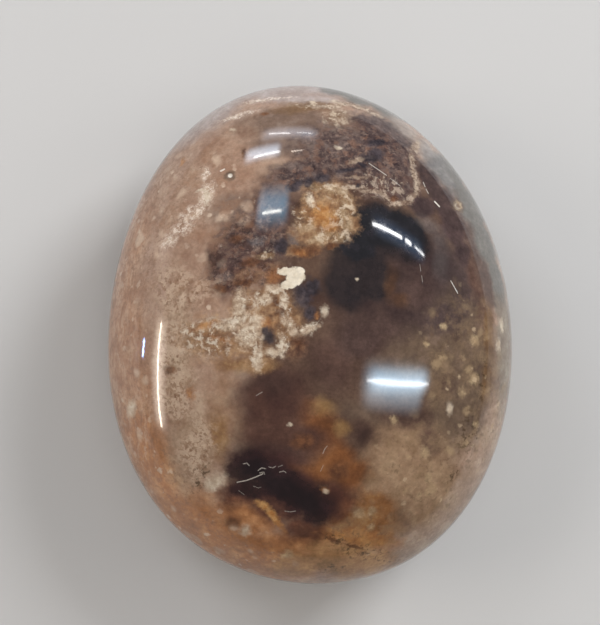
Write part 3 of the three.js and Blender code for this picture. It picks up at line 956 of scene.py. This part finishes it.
# Grains under the crusts, and those in and over them.
UNDER_GRAINS = (
    # The striped and softly speckled chalcedony of the left side.
    Grains("streaks", "#7A5842", "left rim", "cloud", 0.5, 0.54, 0.1, 0.5),
    Grains("streaks", "#BEA28B", "left rim", "cloud", 0.6, 0.55, 0.1, 0.5),
    Grains("clumps", "#7C6050", "left", "fret", 0.6, 0.57, 0.07, 0.5),
    Grains("dots", "#C0AA95", "left", "cloud", 2.4, 0.95, 0.6, 0.65),
    Grains("dots", "#CDBAA6", "left", "fret", 1.5, 0.42, 0.25, 0.6),
    Grains("clumps", "#8B6750", "left", "mottle", 3.0, 0.54, 0.1, 0.5),
    # The soft pale orbs of the clearer right side.
    Grains("clumps", "#8C7459", "clear", "mottle", 2.6, 0.54, 0.12, 0.45),
    Grains("dots", "#A28A6A", "clear", "mottle", 2.4, 0.9, 0.6, 0.5),
    Grains("dots", "#BBA486", "clear", "fret", 1.8, 0.42, 0.22, 0.52),
    Grains("clumps", "#5F4A39", "clear", "fret", 0.7, 0.6, 0.06, 0.5),
    # Cream grains and brown dots at the left.
    Grains("clumps", "#B8A28D", "granules", "mottle", 1.5, 0.49, 0.09, 0.66),
    Grains("clumps", "#7A5B46", "granules", "fret", 0.5, 0.55, 0.06, 0.65),
    Grains("dots", "#6B4E3C", "granules", "cloud", 0.7, 0.27, 0.15, 0.6),
    # Pale and dark grains in the mauve part.
    Grains("clumps", "#8B7569", "mauve", "fret", 0.9, 0.56, 0.09, 0.55),
    Grains("clumps", "#2C2326", "mauve", "mottle", 0.9, 0.57, 0.07, 0.6),
    Grains("clumps", "#7B5A49", "mauve", "cloud", 1.3, 0.56, 0.07, 0.45),
    # Orbs and dark grains of the underside.
    Grains("dots", "#B39C88", "underside", "mottle", 2.6, 0.9, 0.6, 0.6),
    Grains("clumps", "#574036", "underside", "fret", 0.8, 0.58, 0.06, 0.55),
    # The scratchy cream streaks.
    Grains("clumps", "#C6B4A3", "streak", "mottle", 0.8, 0.48, 0.09, 0.66),
    Grains("lines", "#E6DACD", "streak", "fret", 0.6, 0.52, 0.05, 0.66),
)

OVER_GRAINS = (
    Grains("clumps", "#6A4D38", "crust", "fret", 0.8, 0.57, 0.06, 0.65),
    Grains("lines", "#664B37", "crust", "fret", 0.8, 0.47, 0.035, 0.55),
    Grains("clumps", "#CFC3B1", "crust", "mottle", 0.8, 0.56, 0.08, 0.7),
    Grains("clumps", "#654A35", "upper crust", "fret", 0.8, 0.57, 0.06, 0.65),
    Grains("lines", "#5E4531", "upper crust", "fret", 0.8, 0.47, 0.03, 0.5),
    Grains("clumps", "#C8B8A2", "upper crust", "mottle", 0.9, 0.56, 0.07, 0.65),
    Grains("clumps", "#543E35", "lace", "fret", 0.6, 0.53, 0.06, 0.75),
    Grains("clumps", "#B7A694", "lace", "mottle", 0.7, 0.57, 0.06, 0.55),
    Grains("clumps", "#5B4338", "underside crust", "fret", 0.8, 0.56, 0.06, 0.6),
    Grains("clumps", "#CFC3B1", "underside crust", "mottle", 0.8, 0.56, 0.08, 0.65),
    # Dark mossy specks near the rim.
    Grains("clumps", "#40301F", "moss", "fret", 0.6, 0.56, 0.05, 0.75),
)


def add_node(tree, kind, inputs=(), **settings):
    """Adds one node. Settings are its own choices, and an input is a value or another node's socket."""
    made = tree.nodes.new(kind)
    for name, value in settings.items():
        setattr(made, name, value)
    for socket, value in dict(inputs).items():
        if isinstance(value, bpy.types.NodeSocket):
            tree.links.new(value, made.inputs[socket])
        else:
            made.inputs[socket].default_value = value
    return made


def new_material(name):
    """An empty node material and its tree."""
    material = bpy.data.materials.new(name)
    material.use_nodes = True
    material.node_tree.nodes.clear()
    return material, material.node_tree


def depth_of_mark(x, y, half_length, half_width, turn, side):
    """How far a mark has to reach up and down so that it covers the sloping surface under it."""
    step = 0.2
    here = place_on_stone(x, y, side).z
    rise_along_x = place_on_stone(x + step, y, side).z - here
    rise_along_y = place_on_stone(x, y + step, side).z - here
    slope = Vector((rise_along_x, rise_along_y)) / step
    slope.rotate(Matrix.Rotation(-math.radians(turn), 2))
    fall = math.hypot(slope.x * half_length, slope.y * half_width)
    return 1.0 + 0.8 * max(half_length, half_width) + min(fall, 2.5 * max(half_length, half_width))


def nearness(tree, place, marks, side=1):
    """How near each point is to the middle of its nearest mark: 1 there, 0 at MARK_REACH times its size."""
    nearest = None
    for mark in marks:
        x, y, half_length, half_width, turn = mark
        extents = (half_length, half_width, depth_of_mark(*mark, side))
        local = add_node(tree, "ShaderNodeMapping", {
            "Vector": place, "Location": place_on_stone(x, y, side), "Rotation": (0, 0, math.radians(turn)),
            "Scale": [MARK_REACH * extent for extent in extents],
        }, vector_type="TEXTURE")
        near = add_node(tree, "ShaderNodeTexGradient", {
            "Vector": local.outputs[0],
        }, gradient_type="SPHERICAL").outputs["Fac"]
        if nearest is None:
            nearest = near
        else:
            both = add_node(tree, "ShaderNodeMath", {
                0: nearest, 1: near, 2: MARK_MERGING,
            }, operation="SMOOTH_MAX")
            nearest = both.outputs[0]
    return nearest


def smooth_step(tree, value, low, high):
    """0 where a value is under the low limit, 1 over the high one, and a soft step between them."""
    return add_node(tree, "ShaderNodeMapRange", {
        "Value": value, "From Min": low, "From Max": high,
    }, interpolation_type="SMOOTHSTEP", clamp=False).outputs["Result"]


def mark_cover(tree, place, marks, noise_socket, edge, ragged, side=1):
    """How much of the ground the marks hide, 0 to 1, with a ragged edge."""
    near = nearness(tree, place, marks, side)
    ragged = ragged / MARK_REACH
    moved = add_node(tree, "ShaderNodeMath", {
        0: noise_socket, 1: 2 * ragged, 2: near,
    }, operation="MULTIPLY_ADD")
    cover = smooth_step(
        tree, moved.outputs[0], 1 + ragged - (1 + edge) / MARK_REACH, 1 + ragged - (1 - edge) / MARK_REACH
    )
    if side == 1:
        return cover
    height = add_node(tree, "ShaderNodeSeparateXYZ", {"Vector": place}).outputs["Z"]
    below = smooth_step(tree, height, UNDERSIDE_TOP, UNDERSIDE_FULL)
    return add_node(tree, "ShaderNodeMath", {0: cover, 1: below}, operation="MULTIPLY").outputs[0]


def paint(tree, under, layer, tone, places, fields):
    """Lays one layer of marks over the colour so far."""
    cover = mark_cover(
        tree, places[layer.field], layer.marks, fields[layer.field][0], layer.edge, layer.ragged, layer.side
    )
    return lay_over(tree, under, cover, tone, layer.share)


def lay_over(tree, under, cover, tone, share=1.0):
    """Lays a tone, a hex value or a socket, over the colour so far where the cover says."""
    faded = add_node(tree, "ShaderNodeMath", {0: cover, 1: share}, operation="MULTIPLY").outputs[0]
    over = tone if isinstance(tone, bpy.types.NodeSocket) else linear(tone)
    laid = add_node(
        tree, "ShaderNodeMix", {MIX_SHARE: faded, MIX_UNDER: under, MIX_OVER: over}, data_type="RGBA"
    )
    return laid.outputs[MIX_OUT]


def ramp_of(tree, value, stops):
    """The colour that a value between 0 and 1 has on a ramp of (position, hex) stops."""
    stops = tuple(stops)
    ramp = add_node(tree, "ShaderNodeValToRGB", {"Fac": value})
    while len(ramp.color_ramp.elements) < len(stops):
        ramp.color_ramp.elements.new(0.5)
    for element, (position, tone) in zip(ramp.color_ramp.elements, stops):
        element.position = position
        element.color = linear(tone)
    return ramp.outputs["Color"]


def make_fields(tree, place):
    """For each kind of edge, the place moved about by noise, and three noises that differ."""
    places, fields = {}, {}
    for name, (size, shift, detail, roughness) in FIELDS.items():
        stir = add_node(tree, "ShaderNodeTexNoise", {
            "Vector": place, "Scale": 0.8 / size, "Detail": detail, "Roughness": roughness,
        })
        centred = add_node(tree, "ShaderNodeVectorMath", {
            0: place, 1: (shift / 2, shift / 2, shift / 2),
        }, operation="SUBTRACT")
        three = add_node(tree, "ShaderNodeSeparateColor", {"Color": stir.outputs["Color"]}).outputs
        turns = add_node(tree, "ShaderNodeCombineXYZ", {"X": three[0], "Y": three[1], "Z": three[2]})
        moved = add_node(tree, "ShaderNodeVectorMath", {
            0: turns.outputs[0], 1: (shift, shift, shift), 2: centred.outputs[0],
        }, operation="MULTIPLY_ADD")
        places[name] = moved.outputs[0]
        noises = add_node(tree, "ShaderNodeTexNoise", {
            "Vector": place, "Scale": 1 / size, "Detail": detail, "Roughness": roughness,
        })
        split = add_node(tree, "ShaderNodeSeparateColor", {"Color": noises.outputs["Color"]})
        fields[name] = list(split.outputs)
    return places, fields


def make_mottles(tree, fields):
    """For each kind of marking, a value about 0.5 that goes up and down as its tones do."""
    mottles = {}
    for channel, (name, weights) in enumerate(MOTTLE_WEIGHTS.items()):
        value = 0.5 - sum(weights) / 2
        for field, weight in zip(fields.values(), weights):
            summed = add_node(tree, "ShaderNodeMath", {
                0: field[channel], 1: weight, 2: value,
            }, operation="MULTIPLY_ADD")
            value = summed.outputs[0]
        mottles[name] = value
    return mottles


def grain_cover(tree, place, grains):
    """Where the grains are, 0 to 1, before they are kept to their zone."""
    if grains.kind == "dots":
        cells = add_node(tree, "ShaderNodeTexVoronoi", {"Vector": place, "Scale": 1 / grains.spacing})
        picked = add_node(tree, "ShaderNodeSeparateColor", {"Color": cells.outputs["Color"]})
        radius = add_node(tree, "ShaderNodeMath", {
            0: picked.outputs[0], 1: grains.size / grains.spacing,
        }, operation="MULTIPLY")
        inside = add_node(tree, "ShaderNodeMath", {
            0: radius.outputs[0], 1: cells.outputs["Distance"],
        }, operation="SUBTRACT")
        soft = grains.softness / grains.spacing
        return smooth_step(tree, inside.outputs[0], -0.3 * soft, 0.7 * soft)
    if grains.kind == "streaks":
        place = add_node(tree, "ShaderNodeMapping", {"Vector": place, "Scale": STREAK_STRETCH}).outputs[0]
    swirls = add_node(tree, "ShaderNodeTexNoise", {
        "Vector": place, "Scale": 1 / grains.spacing, "Detail": 4, "Roughness": 0.62,
    }).outputs["Fac"]
    if grains.kind != "lines":
        return smooth_step(tree, swirls, grains.size - grains.softness, grains.size + grains.softness)
    away = add_node(tree, "ShaderNodeMath", {0: swirls, 1: grains.size}, operation="SUBTRACT")
    away = add_node(tree, "ShaderNodeMath", {0: away.outputs[0]}, operation="ABSOLUTE")
    return smooth_step(tree, away.outputs[0], grains.softness, 0.2 * grains.softness)


def strew(tree, under, grains, places, zones):
    """Lays dots, clumps or lines over the colour so far, inside their zone."""
    cover = grain_cover(tree, places[grains.field], grains)
    kept = add_node(tree, "ShaderNodeMath", {0: cover, 1: zones[grains.zone]}, operation="MULTIPLY")
    return lay_over(tree, under, kept.outputs[0], grains.tone, grains.share)


def make_polished_jasper():
    """Ocean jasper, ground and polished: chalcedony, which is quartz too fine to see, so it is glossy like
    glass, a little see-through, and coloured in the stone by iron and clay rather than on its surface."""
    material, tree = new_material("polished_ocean_jasper")
    metres = add_node(tree, "ShaderNodeTexCoord").outputs["Object"]
    place = add_node(tree, "ShaderNodeVectorMath", {
        0: metres, "Scale": 1 / MM,
    }, operation="SCALE").outputs[0]
    places, fields = make_fields(tree, place)
    mottles = make_mottles(tree, fields)
    # The ramps are made first, because each of their stops updates the whole tree, which is still small.
    tones = {
        layer: ramp_of(tree, mottles[layer.field], zip(TONE_PLACES, layer.tones))
        for layer in BROAD + UNDERSIDE + DARKS + CRUST_GROUNDS + OVER_CRUSTS
    }
    zones = {
        name: mark_cover(
            tree, places[zone.field], zone.marks, fields[zone.field][1], zone.edge, zone.ragged, zone.side
        )
        for name, zone in GRAIN_ZONES.items()
    }

    colour = ramp_of(tree, mottles["mottle"], zip(TONE_PLACES, GROUND_TONES))
    for layer in BROAD + UNDERSIDE:
        colour = paint(tree, colour, layer, tones[layer], places, fields)
    for grains in UNDER_GRAINS:
        colour = strew(tree, colour, grains, places, zones)
    for layer in DARKS + CRUST_GROUNDS:
        colour = paint(tree, colour, layer, tones[layer], places, fields)
    for grains in OVER_GRAINS:
        colour = strew(tree, colour, grains, places, zones)
    for layer in OVER_CRUSTS:
        colour = paint(tree, colour, layer, tones[layer], places, fields)

    grain = add_node(tree, "ShaderNodeTexNoise", {
        "Vector": place, "Scale": 1 / GRAIN_SIZE, "Detail": 4, "Roughness": 0.7,
    })
    shade = add_node(tree, "ShaderNodeMapRange", {
        "Value": grain.outputs["Fac"], "From Min": 0.3, "From Max": 0.7,
        "To Min": GRAIN_DARKEST, "To Max": GRAIN_LIGHTEST,
    })
    colour = add_node(tree, "ShaderNodeHueSaturation", {
        "Color": colour, "Value": shade.outputs["Result"],
    }).outputs["Color"]
    powder = add_node(tree, "ShaderNodeAttribute", attribute_name="powder").outputs["Fac"]
    colour = lay_over(tree, colour, powder, POWDER_TONE)

    dull = add_node(tree, "ShaderNodeMapRange", {
        "Value": fields["fret"][0], "From Min": 0.3, "From Max": 0.7,
        "To Min": POLISH_ROUGHNESS_LOW, "To Max": POLISH_ROUGHNESS_HIGH,
    })
    rough = add_node(tree, "ShaderNodeMath", {
        0: powder, 1: POWDER_ROUGHNESS, 2: dull.outputs["Result"],
    }, operation="MULTIPLY_ADD")
    shader = add_node(tree, "ShaderNodeBsdfPrincipled", {
        "Base Color": colour, "Roughness": rough.outputs[0], "IOR": QUARTZ_IOR,
    })
    surface = add_node(tree, "ShaderNodeOutputMaterial")
    tree.links.new(shader.outputs["BSDF"], surface.inputs["Surface"])
    return material


def make_table_paint():
    """Matt off-white laminate, with the faint cloudiness of a wiped surface."""
    material, tree = new_material("matt_white_laminate")
    place = add_node(tree, "ShaderNodeTexCoord").outputs["Object"]
    smears = add_node(tree, "ShaderNodeTexNoise", {"Vector": place, "Scale": 9.0, "Detail": 3})
    tone = ramp_of(tree, smears.outputs["Fac"], ((0.3, "#B6B5B4"), (0.7, "#BAB9B8")))
    shader = add_node(tree, "ShaderNodeBsdfPrincipled", {"Base Color": tone, "Roughness": 0.6})
    surface = add_node(tree, "ShaderNodeOutputMaterial")
    tree.links.new(shader.outputs["BSDF"], surface.inputs["Surface"])
    return material


def make_table():
    """The plain pale floor, level with the flat spot."""
    sheet = bmesh.new()
    bmesh.ops.create_grid(sheet, x_segments=1, y_segments=1, size=TABLE_HALF_SIZE * MM)
    mesh = bpy.data.meshes.new("table")
    sheet.to_mesh(mesh)
    sheet.free()
    table = bpy.data.objects.new("table", mesh)
    bpy.context.scene.collection.objects.link(table)
    table.data.materials.append(make_table_paint())


def sky_place(azimuth, elevation, distance):
    """A place in metres seen from the crown at a compass angle from +X and a height, both in degrees."""
    a, e = math.radians(azimuth), math.radians(elevation)
    towards = Vector((math.cos(a) * math.cos(e), math.sin(a) * math.cos(e), math.sin(e)))
    return towards * distance * MM + CROWN


def make_lamp(name, start, end, breadth, radiance, tone, distance=LAMP_DISTANCE):
    """A flat oblong lamp between two (azimuth, elevation) directions, turned to the stone."""
    first, last = sky_place(*start, distance), sky_place(*end, distance)
    middle = (first + last) / 2
    lamp = bpy.data.lights.new(name, "AREA")
    lamp.shape = "RECTANGLE"
    lamp.size = (last - first).length
    lamp.size_y = breadth * MM
    lamp.energy = radiance * lamp.size * lamp.size_y * math.pi
    lamp.color = linear(tone)[:3]
    lamp_object = bpy.data.objects.new(name, lamp)
    bpy.context.scene.collection.objects.link(lamp_object)
    back = (middle - CROWN).normalized()
    along = (last - first).normalized()
    across = back.cross(along).normalized()
    turned = Matrix((across.cross(back), across, back)).transposed()
    lamp_object.matrix_world = Matrix.Translation(middle) @ turned.to_4x4()
    lamp_object.visible_camera = False
    return lamp_object


def fade_across(lamp):
    """Makes a lamp brightest along its middle line and dark along its long edges."""
    lamp.use_nodes = True
    tree = lamp.node_tree
    spot = add_node(tree, "ShaderNodeNewGeometry").outputs["Parametric"]
    along, across, _ = add_node(tree, "ShaderNodeSeparateXYZ", {"Vector": spot}).outputs
    shares = []
    for way, reach in ((along, 0.2), (across, 0.5)):
        off = add_node(tree, "ShaderNodeMath", {0: way, 1: 0.5}, operation="SUBTRACT")
        off = add_node(tree, "ShaderNodeMath", {0: off.outputs[0]}, operation="ABSOLUTE")
        shares.append(smooth_step(tree, off.outputs[0], 0.5, 0.5 - reach))
    both = add_node(tree, "ShaderNodeMath", {0: shares[0], 1: shares[1]}, operation="MULTIPLY")
    tree.links.new(both.outputs[0], tree.nodes["Emission"].inputs["Strength"])


def light_the_room():
    """A dim even room, soft boxes, and the tubes and glows whose reflections lie on the crown."""
    world = bpy.data.worlds.new("room")
    bpy.context.scene.world = world
    world.use_nodes = True
    background = world.node_tree.nodes["Background"]
    background.inputs["Color"].default_value = linear("#FFFCF8")
    background.inputs["Strength"].default_value = ROOM_STRENGTH
    for tube in TUBES:
        make_lamp(*tube).visible_diffuse = False
    for glow in GLOWS:
        lamp_object = make_lamp(*glow)
        lamp_object.visible_diffuse = False
        fade_across(lamp_object.data)
    for box in SOFT_BOXES:
        make_lamp(*box).visible_glossy = False


def aim_camera():
    """The camera at the photograph's viewing angle."""
    lens = bpy.data.cameras.new("camera")
    lens.lens = CAMERA_LENS
    lens.clip_start = 0.01
    camera = bpy.data.objects.new("camera", lens)
    bpy.context.scene.collection.objects.link(camera)
    camera.rotation_euler = (CAMERA_LEAN_NEAR, -CAMERA_LEAN_LEFT, 0)
    back = camera.rotation_euler.to_matrix() @ Vector((0, 0, 1))
    camera.location = (CAMERA_AIM + back * CAMERA_DISTANCE) * MM
    bpy.context.scene.camera = camera


aim_camera()
make_table()
light_the_room()
pebble = make_pebble()
pebble.data.materials.append(make_polished_jasper())
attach(pebble, "root")
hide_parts("palm_stone")
bpy.context.scene.view_settings.view_transform = "Standard"
